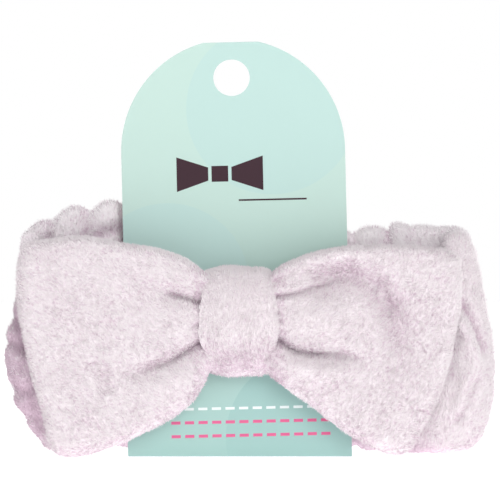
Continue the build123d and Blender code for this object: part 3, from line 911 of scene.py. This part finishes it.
def cardMaterial(name):
    material = bpy.data.materials.new(name)
    material.use_nodes = True
    nodes, links = material.node_tree.nodes, material.node_tree.links
    nodes.clear()
    bowPrint, rule, whites = cardPrint["bow"], cardPrint["rule"], cardPrint["whiteRow"]
    pinks = cardPrint["pinkRows"]
    circleFrame = nodes.new("NodeFrame")
    circleFrame.label, circleFrame.location = "Three large printed circles", (-1200, 600)
    badgeFrame = nodes.new("NodeFrame")
    badgeFrame.label, badgeFrame.location = "Printed bow", (-1200, -100)
    stitchFrame = nodes.new("NodeFrame")
    stitchFrame.label, stitchFrame.location = "Printed running stitches", (-1200, -900)
    inkFrame = nodes.new("NodeFrame")
    inkFrame.label, inkFrame.location = "Inks over the board", (0, 400)
    boardFrame = nodes.new("NodeFrame")
    boardFrame.label, boardFrame.location = "Bare board and its grain", (0, -500)

    out = nodes.new("ShaderNodeOutputMaterial")
    out.label, out.location = "Card surface", (2100, 0)
    board = nodes.new("ShaderNodeBsdfPrincipled")
    board.label, board.location = "Satin printed board", (1800, 0)
    place = nodes.new("ShaderNodeTexCoord")
    place.label, place.location = "Place on the card", (-2000, 0)
    upright = nodes.new("ShaderNodeMapping")
    upright.label, upright.location = "In line with the leaning card", (-1800, 0)
    parts = nodes.new("ShaderNodeSeparateXYZ")
    parts.label, parts.location = "Across and up", (-1600, -400)

    circleA = nodes.new("ShaderNodeMapping")
    circleA.label, circleA.location, circleA.parent = "Top circle's own place", (0, 0), circleFrame
    circleB = nodes.new("ShaderNodeMapping")
    circleB.label, circleB.location, circleB.parent = "Left circle's own place", (0, -350), circleFrame
    circleC = nodes.new("ShaderNodeMapping")
    circleC.label, circleC.location, circleC.parent = "Low circle's own place", (0, -700), circleFrame
    fromA = nodes.new("ShaderNodeVectorMath")
    fromA.label, fromA.location, fromA.parent = "Out from its middle", (200, 0), circleFrame
    fromB = nodes.new("ShaderNodeVectorMath")
    fromB.label, fromB.location, fromB.parent = "Out from its middle", (200, -350), circleFrame
    fromC = nodes.new("ShaderNodeVectorMath")
    fromC.label, fromC.location, fromC.parent = "Out from its middle", (200, -700), circleFrame
    insideA = nodes.new("ShaderNodeMath")
    insideA.label, insideA.location, insideA.parent = "In the top circle", (400, 0), circleFrame
    insideB = nodes.new("ShaderNodeMath")
    insideB.label, insideB.location, insideB.parent = "In the left circle", (400, -350), circleFrame
    insideC = nodes.new("ShaderNodeMath")
    insideC.label, insideC.location, insideC.parent = "In the low circle", (400, -700), circleFrame

    aside = nodes.new("ShaderNodeMath")
    aside.label, aside.location, aside.parent = "Across from the bow's middle", (0, 0), badgeFrame
    eitherSide = nodes.new("ShaderNodeMath")
    eitherSide.label, eitherSide.location, eitherSide.parent = "Same both sides", (200, 0), badgeFrame
    flare = nodes.new("ShaderNodeMath")
    flare.label, flare.location, flare.parent = "Loops flare outwards", (400, 0), badgeFrame
    loopHigh = nodes.new("ShaderNodeMath")
    loopHigh.label, loopHigh.location, loopHigh.parent = "Inside a loop's height", (600, 0), badgeFrame
    loopWide = nodes.new("ShaderNodeMath")
    loopWide.label, loopWide.location, loopWide.parent = "Inside a loop's width", (600, -180), badgeFrame
    loops = nodes.new("ShaderNodeMath")
    loops.label, loops.location, loops.parent = "Two loops", (800, 0), badgeFrame
    knotHigh = nodes.new("ShaderNodeMath")
    knotHigh.label, knotHigh.location, knotHigh.parent = "Inside the knot's height", (600, -360), badgeFrame
    knotWide = nodes.new("ShaderNodeMath")
    knotWide.label, knotWide.location, knotWide.parent = "Inside the knot's width", (600, -540), badgeFrame
    knotMark = nodes.new("ShaderNodeMath")
    knotMark.label, knotMark.location, knotMark.parent = "Knot", (800, -360), badgeFrame
    bowMark = nodes.new("ShaderNodeMath")
    bowMark.label, bowMark.location, bowMark.parent = "Bow", (1000, -100), badgeFrame

    along = nodes.new("ShaderNodeMath")
    along.label, along.location, along.parent = "Along one stitch and gap", (0, 0), stitchFrame
    stitch = nodes.new("ShaderNodeMath")
    stitch.label, stitch.location, stitch.parent = "On a stitch", (200, 0), stitchFrame
    darkRow = nodes.new("ShaderNodeMath")
    darkRow.label, darkRow.location, darkRow.parent = "Fine row under the bow", (200, -180), stitchFrame
    darkRun = nodes.new("ShaderNodeMath")
    darkRun.label, darkRun.location, darkRun.parent = "Its length", (200, -360), stitchFrame
    darkLine = nodes.new("ShaderNodeMath")
    darkLine.label, darkLine.location, darkLine.parent = "Fine dark rule", (400, -180), stitchFrame
    whiteRow = nodes.new("ShaderNodeMath")
    whiteRow.label, whiteRow.location, whiteRow.parent = "White row", (200, -540), stitchFrame
    whiteRun = nodes.new("ShaderNodeMath")
    whiteRun.label, whiteRun.location, whiteRun.parent = "Its length", (200, -720), stitchFrame
    whiteLine = nodes.new("ShaderNodeMath")
    whiteLine.label, whiteLine.location, whiteLine.parent = "White row's band", (400, -540), stitchFrame
    whiteStitches = nodes.new("ShaderNodeMath")
    whiteStitches.label, whiteStitches.location = "White stitches", (600, -540)
    whiteStitches.parent = stitchFrame
    pinkMiddle = nodes.new("ShaderNodeMath")
    pinkMiddle.label, pinkMiddle.location = "Up from between the rows", (0, -900)
    pinkMiddle.parent = stitchFrame
    pinkPair = nodes.new("ShaderNodeMath")
    pinkPair.label, pinkPair.location, pinkPair.parent = "Two rows alike", (200, -900), stitchFrame
    pinkRow = nodes.new("ShaderNodeMath")
    pinkRow.label, pinkRow.location, pinkRow.parent = "Pink rows", (400, -900), stitchFrame
    pinkRun = nodes.new("ShaderNodeMath")
    pinkRun.label, pinkRun.location, pinkRun.parent = "Their length", (400, -1080), stitchFrame
    pinkLine = nodes.new("ShaderNodeMath")
    pinkLine.label, pinkLine.location, pinkLine.parent = "Pink rows' band", (600, -900), stitchFrame
    pinkStitches = nodes.new("ShaderNodeMath")
    pinkStitches.label, pinkStitches.location = "Pink stitches", (800, -900)
    pinkStitches.parent = stitchFrame
    darkInk = nodes.new("ShaderNodeMath")
    darkInk.label, darkInk.location, darkInk.parent = "All the dark ink", (1000, -180), stitchFrame

    height = nodes.new("ShaderNodeMapRange")
    height.label, height.location, height.parent = "Down the card", (0, 0), inkFrame
    mint = nodes.new("ShaderNodeMix")
    mint.label, mint.location, mint.parent = "Mint, bluer and painted shade low down", (200, 0), inkFrame
    tintA = nodes.new("ShaderNodeMix")
    tintA.label, tintA.location, tintA.parent = "Top circle", (400, 0), inkFrame
    tintB = nodes.new("ShaderNodeMix")
    tintB.label, tintB.location, tintB.parent = "Left circle", (600, 0), inkFrame
    tintC = nodes.new("ShaderNodeMix")
    tintC.label, tintC.location, tintC.parent = "Low circle", (800, 0), inkFrame
    wineInk = nodes.new("ShaderNodeMix")
    wineInk.label, wineInk.location, wineInk.parent = "Dark wine ink", (1000, 0), inkFrame
    whiteInk = nodes.new("ShaderNodeMix")
    whiteInk.label, whiteInk.location, whiteInk.parent = "White ink", (1200, 0), inkFrame
    pinkInk = nodes.new("ShaderNodeMix")
    pinkInk.label, pinkInk.location, pinkInk.parent = "Pink ink", (1400, 0), inkFrame

    facing = nodes.new("ShaderNodeNewGeometry")
    facing.label, facing.location, facing.parent = "Which way the board faces", (0, 0), boardFrame
    facingParts = nodes.new("ShaderNodeSeparateXYZ")
    facingParts.label, facingParts.location, facingParts.parent = "Front, back or edge", (200, 0), boardFrame
    bare = nodes.new("ShaderNodeMath")
    bare.label, bare.location, bare.parent = "Unprinted back and cut edge", (400, 0), boardFrame
    grain = nodes.new("ShaderNodeTexNoise")
    grain.label, grain.location, grain.parent = "Board fibres", (200, -250), boardFrame
    boardTone = nodes.new("ShaderNodeValToRGB")
    boardTone.label, boardTone.location, boardTone.parent = "Off-white board", (600, -250), boardFrame
    printedOrBare = nodes.new("ShaderNodeMix")
    printedOrBare.label, printedOrBare.location = "Print or board", (1000, 0)
    printedOrBare.parent = boardFrame
    tooth = nodes.new("ShaderNodeBump")
    tooth.label, tooth.location, tooth.parent = "Faint tooth", (1000, -300), boardFrame

    upright.vector_type = "TEXTURE"
    upright.inputs["Location"].default_value = (-0.0045, 0.0095, 0.0004)
    upright.inputs["Rotation"].default_value = (0, math.radians(-cardPrint["turn"]), 0)
    for circle, (x, z, radius) in zip((circleA, circleB, circleC), cardPrint["circles"]):
        circle.vector_type = "TEXTURE"
        circle.inputs["Location"].default_value = (x * mm, 0.0095, z * mm)
        circle.inputs["Scale"].default_value = (radius * mm, 1.0, radius * mm)
    for fromMiddle, inside in ((fromA, insideA), (fromB, insideB), (fromC, insideC)):
        fromMiddle.operation = "LENGTH"
        inside.operation = "LESS_THAN"
        inside.inputs[1].default_value = 1.0
    aside.operation = "SUBTRACT"
    aside.inputs[1].default_value = bowPrint["x"] * mm
    eitherSide.operation = "ABSOLUTE"
    flare.operation = "MULTIPLY_ADD"
    flare.inputs[1].default_value = bowPrint["flare"]
    flare.inputs[2].default_value = bowPrint["waist"] * mm
    loopHigh.operation = "COMPARE"
    loopHigh.inputs[1].default_value = bowPrint["z"] * mm
    loopWide.operation = "COMPARE"
    loopWide.inputs[1].default_value = bowPrint["loopOut"] * mm
    loopWide.inputs[2].default_value = bowPrint["loopHalf"] * mm
    loops.operation = "MULTIPLY"
    knotHigh.operation = "COMPARE"
    knotHigh.inputs[1].default_value = bowPrint["z"] * mm
    knotHigh.inputs[2].default_value = bowPrint["knotTall"] * mm
    knotWide.operation = "COMPARE"
    knotWide.inputs[1].default_value = 0.0
    knotWide.inputs[2].default_value = bowPrint["knotWide"] * mm
    knotMark.operation = "MULTIPLY"
    bowMark.operation = "MAXIMUM"
    along.operation = "FLOORED_MODULO"
    along.inputs[1].default_value = cardPrint["stitchAndGap"] * mm
    stitch.operation = "LESS_THAN"
    stitch.inputs[1].default_value = cardPrint["stitch"] * mm
    darkRow.operation = "COMPARE"
    darkRow.inputs[1].default_value = rule["z"] * mm
    darkRow.inputs[2].default_value = rule["thick"] * mm
    darkRun.operation = "COMPARE"
    darkRun.inputs[1].default_value = rule["x"] * mm
    darkRun.inputs[2].default_value = rule["half"] * mm
    darkLine.operation = "MULTIPLY"
    whiteRow.operation = "COMPARE"
    whiteRow.inputs[1].default_value = whites["z"] * mm
    whiteRow.inputs[2].default_value = whites["thick"] * mm
    whiteRun.operation = "COMPARE"
    whiteRun.inputs[1].default_value = whites["x"] * mm
    whiteRun.inputs[2].default_value = whites["half"] * mm
    whiteLine.operation = "MULTIPLY"
    whiteStitches.operation = "MULTIPLY"
    pinkMiddle.operation = "SUBTRACT"
    pinkMiddle.inputs[1].default_value = pinks["z"] * mm
    pinkPair.operation = "ABSOLUTE"
    pinkRow.operation = "COMPARE"
    pinkRow.inputs[1].default_value = pinks["apart"] * mm
    pinkRow.inputs[2].default_value = pinks["thick"] * mm
    pinkRun.operation = "COMPARE"
    pinkRun.inputs[1].default_value = pinks["x"] * mm
    pinkRun.inputs[2].default_value = pinks["half"] * mm
    pinkLine.operation = "MULTIPLY"
    pinkStitches.operation = "MULTIPLY"
    darkInk.operation = "MAXIMUM"
    # darker and bluer towards the bottom: partly print, partly painted shade
    height.inputs["From Min"].default_value = 0.11
    height.inputs["From Max"].default_value = 0.0
    for layer in (mint, tintA, tintB, tintC, wineInk, whiteInk, pinkInk, printedOrBare):
        layer.data_type = "RGBA"
    mint.inputs["A"].default_value = cardPrint["mint"]
    mint.inputs["B"].default_value = cardPrint["lowMintShaded"]
    tintA.inputs["B"].default_value = cardPrint["tint"]
    tintB.inputs["B"].default_value = cardPrint["tint"]
    tintC.inputs["B"].default_value = cardPrint["lowTintShaded"]
    wineInk.inputs["B"].default_value = cardPrint["wine"]
    whiteInk.inputs["B"].default_value = cardPrint["white"]
    pinkInk.inputs["B"].default_value = cardPrint["pink"]
    bare.operation = "GREATER_THAN"
    bare.inputs[1].default_value = -0.5
    grain.inputs["Scale"].default_value = 900.0
    grain.inputs["Detail"].default_value = 4.0
    boardTone.color_ramp.elements[0].color = (0.66, 0.65, 0.62, 1)
    boardTone.color_ramp.elements[1].color = (0.80, 0.79, 0.76, 1)
    tooth.inputs["Strength"].default_value = 0.08
    tooth.inputs["Distance"].default_value = 0.0001
    board.inputs["Roughness"].default_value = 0.55
    board.inputs["Specular IOR Level"].default_value = 0.35

    links.new(place.outputs["Object"], upright.inputs["Vector"])
    links.new(upright.outputs["Vector"], parts.inputs["Vector"])
    links.new(place.outputs["Object"], circleA.inputs["Vector"])
    links.new(place.outputs["Object"], circleB.inputs["Vector"])
    links.new(place.outputs["Object"], circleC.inputs["Vector"])
    links.new(circleA.outputs["Vector"], fromA.inputs[0])
    links.new(circleB.outputs["Vector"], fromB.inputs[0])
    links.new(circleC.outputs["Vector"], fromC.inputs[0])
    links.new(fromA.outputs["Value"], insideA.inputs[0])
    links.new(fromB.outputs["Value"], insideB.inputs[0])
    links.new(fromC.outputs["Value"], insideC.inputs[0])
    links.new(parts.outputs["X"], aside.inputs[0])
    links.new(aside.outputs["Value"], eitherSide.inputs[0])
    links.new(eitherSide.outputs["Value"], flare.inputs[0])
    links.new(parts.outputs["Z"], loopHigh.inputs[0])
    links.new(flare.outputs["Value"], loopHigh.inputs[2])
    links.new(eitherSide.outputs["Value"], loopWide.inputs[0])
    links.new(loopHigh.outputs["Value"], loops.inputs[0])
    links.new(loopWide.outputs["Value"], loops.inputs[1])
    links.new(parts.outputs["Z"], knotHigh.inputs[0])
    links.new(eitherSide.outputs["Value"], knotWide.inputs[0])
    links.new(knotHigh.outputs["Value"], knotMark.inputs[0])
    links.new(knotWide.outputs["Value"], knotMark.inputs[1])
    links.new(loops.outputs["Value"], bowMark.inputs[0])
    links.new(knotMark.outputs["Value"], bowMark.inputs[1])
    links.new(parts.outputs["X"], along.inputs[0])
    links.new(along.outputs["Value"], stitch.inputs[0])
    links.new(parts.outputs["Z"], darkRow.inputs[0])
    links.new(parts.outputs["X"], darkRun.inputs[0])
    links.new(darkRow.outputs["Value"], darkLine.inputs[0])
    links.new(darkRun.outputs["Value"], darkLine.inputs[1])
    links.new(parts.outputs["Z"], whiteRow.inputs[0])
    links.new(parts.outputs["X"], whiteRun.inputs[0])
    links.new(whiteRow.outputs["Value"], whiteLine.inputs[0])
    links.new(whiteRun.outputs["Value"], whiteLine.inputs[1])
    links.new(whiteLine.outputs["Value"], whiteStitches.inputs[0])
    links.new(stitch.outputs["Value"], whiteStitches.inputs[1])
    links.new(parts.outputs["Z"], pinkMiddle.inputs[0])
    links.new(pinkMiddle.outputs["Value"], pinkPair.inputs[0])
    links.new(pinkPair.outputs["Value"], pinkRow.inputs[0])
    links.new(parts.outputs["X"], pinkRun.inputs[0])
    links.new(pinkRow.outputs["Value"], pinkLine.inputs[0])
    links.new(pinkRun.outputs["Value"], pinkLine.inputs[1])
    links.new(pinkLine.outputs["Value"], pinkStitches.inputs[0])
    links.new(stitch.outputs["Value"], pinkStitches.inputs[1])
    links.new(bowMark.outputs["Value"], darkInk.inputs[0])
    links.new(darkLine.outputs["Value"], darkInk.inputs[1])
    links.new(parts.outputs["Z"], height.inputs["Value"])
    links.new(height.outputs["Result"], mint.inputs["Factor"])
    links.new(insideA.outputs["Value"], tintA.inputs["Factor"])
    links.new(mint.outputs["Result"], tintA.inputs["A"])
    links.new(insideB.outputs["Value"], tintB.inputs["Factor"])
    links.new(tintA.outputs["Result"], tintB.inputs["A"])
    links.new(insideC.outputs["Value"], tintC.inputs["Factor"])
    links.new(tintB.outputs["Result"], tintC.inputs["A"])
    links.new(darkInk.outputs["Value"], wineInk.inputs["Factor"])
    links.new(tintC.outputs["Result"], wineInk.inputs["A"])
    links.new(whiteStitches.outputs["Value"], whiteInk.inputs["Factor"])
    links.new(wineInk.outputs["Result"], whiteInk.inputs["A"])
    links.new(pinkStitches.outputs["Value"], pinkInk.inputs["Factor"])
    links.new(whiteInk.outputs["Result"], pinkInk.inputs["A"])
    links.new(facing.outputs["Normal"], facingParts.inputs["Vector"])
    links.new(facingParts.outputs["Y"], bare.inputs[0])
    links.new(place.outputs["Object"], grain.inputs["Vector"])
    links.new(grain.outputs["Fac"], boardTone.inputs["Fac"])
    links.new(bare.outputs["Value"], printedOrBare.inputs["Factor"])
    links.new(pinkInk.outputs["Result"], printedOrBare.inputs["A"])
    links.new(boardTone.outputs["Color"], printedOrBare.inputs["B"])
    links.new(printedOrBare.outputs["Result"], board.inputs["Base Color"])
    links.new(grain.outputs["Fac"], tooth.inputs["Height"])
    links.new(tooth.outputs["Normal"], board.inputs["Normal"])
    links.new(board.outputs["BSDF"], out.inputs["Surface"])
    return material


def yarnMaterial(name, light, dark, ribScale, direction, bumpDepth):    # woven elastic or twisted thread; dark is painted shade between the ribs
    material = bpy.data.materials.new(name)
    material.use_nodes = True
    nodes, links = material.node_tree.nodes, material.node_tree.links
    nodes.clear()
    out = nodes.new("ShaderNodeOutputMaterial")
    out.label, out.location = "Yarn surface", (900, 0)
    yarn = nodes.new("ShaderNodeBsdfPrincipled")
    yarn.label, yarn.location = "Yarn", (600, 0)
    place = nodes.new("ShaderNodeTexCoord")
    place.label, place.location = "Place on the piece", (-400, 0)
    ribs = nodes.new("ShaderNodeTexWave")
    ribs.label, ribs.location = "Ribs or twist", (-150, 100)
    dyeAndShade = nodes.new("ShaderNodeValToRGB")
    dyeAndShade.label, dyeAndShade.location = "Painted shade between ribs", (150, 150)
    relief = nodes.new("ShaderNodeBump")
    relief.label, relief.location = "Raised ribs", (350, -200)
    ribs.wave_type = "BANDS"
    ribs.bands_direction = direction
    ribs.inputs["Scale"].default_value = ribScale
    ribs.inputs["Distortion"].default_value = 0.3
    # painted shade between the ribs or twists
    dyeAndShade.color_ramp.elements[0].color = dark
    dyeAndShade.color_ramp.elements[1].color = light
    relief.inputs["Strength"].default_value = 0.7
    relief.inputs["Distance"].default_value = bumpDepth
    yarn.inputs["Roughness"].default_value = 0.8
    yarn.inputs["Sheen Weight"].default_value = 0.2
    links.new(place.outputs["Object"], ribs.inputs["Vector"])
    links.new(ribs.outputs["Fac"], dyeAndShade.inputs["Fac"])
    links.new(dyeAndShade.outputs["Color"], yarn.inputs["Base Color"])
    links.new(ribs.outputs["Fac"], relief.inputs["Height"])
    links.new(relief.outputs["Normal"], yarn.inputs["Normal"])
    links.new(yarn.outputs["BSDF"], out.inputs["Surface"])
    return material


# Making and finishing every piece

# tip is the fleece dye; the root colours and the lilac lock dye are painted shade, and the casing colours
# are a painted lighter copy
dyes = {
    "tip": (0.885, 0.835, 0.855, 1), "root": (0.67, 0.575, 0.635, 1), "shadeLock": (0.74, 0.61, 0.69, 1),
    "bandRootShade": (0.76, 0.69, 0.73, 1), "litCasingTip": (0.96, 0.925, 0.94, 1),
    "litCasingRootShade": (0.87, 0.81, 0.84, 1),
}
paleLocks = lockMaterial("pileTips", dyes["tip"])
shadeLocks = lockMaterial("pilePaintedShade", dyes["shadeLock"])
# painted light: a lighter copy of the pale locks for the casing, which the wing and card shade
litCasingLocks = lockMaterial("litCasingPileTips", dyes["litCasingTip"])

pieces = [
    {"name": "bowWingLeft", "make": makeWing, "shape": leftWing, "seed": 3, "fill": 0.45,
     "stands for": ["bow_left_front", "bow_left_back"], "dyes": ("tip", "root"), "locks": paleLocks,
     "bends": ("front_band", "bow_left", (-0.0225, 0, 0), (-0.042, 0, 0))},
    {"name": "bowWingRight", "make": makeWing, "shape": rightWing, "seed": 13, "fill": 0.45,
     "stands for": ["bow_right_front", "bow_right_back"], "dyes": ("tip", "root"), "locks": paleLocks,
     "bends": ("front_band", "bow_right", (0.0128, 0, 0), (0.032, 0, 0))},
    {"name": "knotWrap", "make": makeKnot, "shape": knotStrap, "seed": 23, "fill": 0.4,
     "stands for": ["knot_wrap", "bow_waist"], "dyes": ("tip", "root"), "locks": paleLocks,
     "rides": "front_band"},
    {"name": "frontBand", "make": makeBand, "shape": frontBand, "seed": 33, "fill": 0.35,
     "stands for": ["front_band_face", "front_band_lining", "side_seam_left", "side_seam_right"],
     "dyes": ("tip", "bandRootShade"), "locks": paleLocks,
     "bends": ("front_band", "back_band", (0, 0.005, 0), (0, 0.018, 0))},
    {"name": "backCasing", "make": makeBand, "shape": backCasing, "seed": 43, "fill": 0.35,
     "stands for": ["back_casing_outer", "back_casing_inner"],
     "dyes": ("litCasingTip", "litCasingRootShade"), "locks": litCasingLocks,
     "bends": ("front_band", "back_band", (0, 0.005, 0), (0, 0.018, 0))},
]

for piece in pieces:
    cloth = piece["make"](piece["name"], piece["shape"], piece["seed"])
    cloth.data.materials.clear()
    tipDye, rootShadeDye = (dyes[dye] for dye in piece["dyes"])
    cloth.data.materials.append(
        fleeceMaterial(piece["name"] + "Fleece", piece["shape"]["comb"], tipDye, rootShadeDye))
    pile = plantLocks(cloth, piece["shape"]["comb"], piece["seed"], piece["locks"], shadeLocks)
    for part in (cloth, pile):
        if "rides" in piece:
            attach(part, piece["rides"])
        else:
            bodyA, bodyB, start, end = piece["bends"]
            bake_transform(part)
            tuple(start)
            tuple(end)
    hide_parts(*piece["stands for"])
print("cloth and pile made")

finishes = {
    "hang_card": cardMaterial("mintCard"),
    "elastic_strip": yarnMaterial("wovenElastic", (0.83, 0.81, 0.79, 1), (0.55, 0.53, 0.52, 1), 45.0, "X",
                                  0.0002),
    "elastic_tacks": yarnMaterial("tackThread", (0.80, 0.72, 0.78, 1), (0.55, 0.45, 0.53, 1), 150.0,
                                  "DIAGONAL", 0.00008),
    "knot_stitches": yarnMaterial("closingThread", (0.80, 0.72, 0.78, 1), (0.55, 0.45, 0.53, 1), 150.0,
                                  "DIAGONAL", 0.00008),
}
for node, finish in finishes.items():
    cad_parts[node].data.materials.clear()
    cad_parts[node].data.materials.append(finish)
print("card, elastic and thread finished")

# Studio: white floor, white all round, a soft light above and one beside the camera

ground = bmesh.new()
bmesh.ops.create_circle(ground, cap_ends=True, segments=96, radius=6.0)
bmesh.ops.translate(ground, verts=ground.verts, vec=(0, 0, -0.0004))
floor = intoScene("studioFloor", ground)
paper = bpy.data.materials.new("paperFloor")
paper.use_nodes = True
paperNodes, paperLinks = paper.node_tree.nodes, paper.node_tree.links
paperNodes.clear()
paperOut = paperNodes.new("ShaderNodeOutputMaterial")
paperOut.label, paperOut.location = "Floor surface", (300, 0)
sheet = paperNodes.new("ShaderNodeBsdfPrincipled")
sheet.label, sheet.location = "White paper lit from under", (0, 0)
sheet.inputs["Base Color"].default_value = (1, 1, 1, 1)
sheet.inputs["Roughness"].default_value = 1.0
sheet.inputs["Emission Color"].default_value = (1, 1, 1, 1)
sheet.inputs["Emission Strength"].default_value = studio["whiteFloor"]
paperLinks.new(sheet.outputs["BSDF"], paperOut.inputs["Surface"])
floor.data.materials.append(paper)

world = bpy.data.worlds.new("studioSky")
bpy.context.scene.world = world
world.use_nodes = True
skyNodes, skyLinks = world.node_tree.nodes, world.node_tree.links
skyNodes.clear()
skyOut = skyNodes.new("ShaderNodeOutputWorld")
skyOut.label, skyOut.location = "Studio", (400, 0)
wrap = skyNodes.new("ShaderNodeBackground")
wrap.label, wrap.location = "Wrapping light", (0, 100)
white = skyNodes.new("ShaderNodeBackground")
white.label, white.location = "White seen behind", (0, -100)
seen = skyNodes.new("ShaderNodeLightPath")
seen.label, seen.location = "Seen straight on", (0, 400)
choose = skyNodes.new("ShaderNodeMixShader")
choose.label, choose.location = "Light or backdrop", (200, 0)
wrap.inputs["Color"].default_value = (1, 1, 1, 1)
wrap.inputs["Strength"].default_value = studio["sky"]
white.inputs["Color"].default_value = (1, 1, 1, 1)
white.inputs["Strength"].default_value = 1.0
skyLinks.new(seen.outputs["Is Camera Ray"], choose.inputs["Fac"])
skyLinks.new(wrap.outputs["Background"], choose.inputs[1])
skyLinks.new(white.outputs["Background"], choose.inputs[2])
skyLinks.new(choose.outputs["Shader"], skyOut.inputs["Surface"])


def softLight(name, place, power, size):
    light = bpy.data.lights.new(name, "AREA")
    light.shape = "DISK"
    light.size = size
    light.energy = power
    lamp = bpy.data.objects.new(name, light)
    bpy.context.scene.collection.objects.link(lamp)
    lamp.location = place
    lamp.rotation_euler = (Vector((0, 0, 0.08)) - Vector(place)).to_track_quat("-Z", "Y").to_euler()


softLight("keyLight", (0.3, -1.0, 1.9), studio["key"], 0.6)
softLight("fillLight", (0.3, -2.0, 0.35), studio["fill"], 1.0)
softLight("backLight", (-0.5, 2.0, 0.7), studio["back"], 1.0)
bpy.context.scene.view_settings.view_transform = "Standard"
bpy.context.scene.view_settings.look = "None"
print("studio lit")
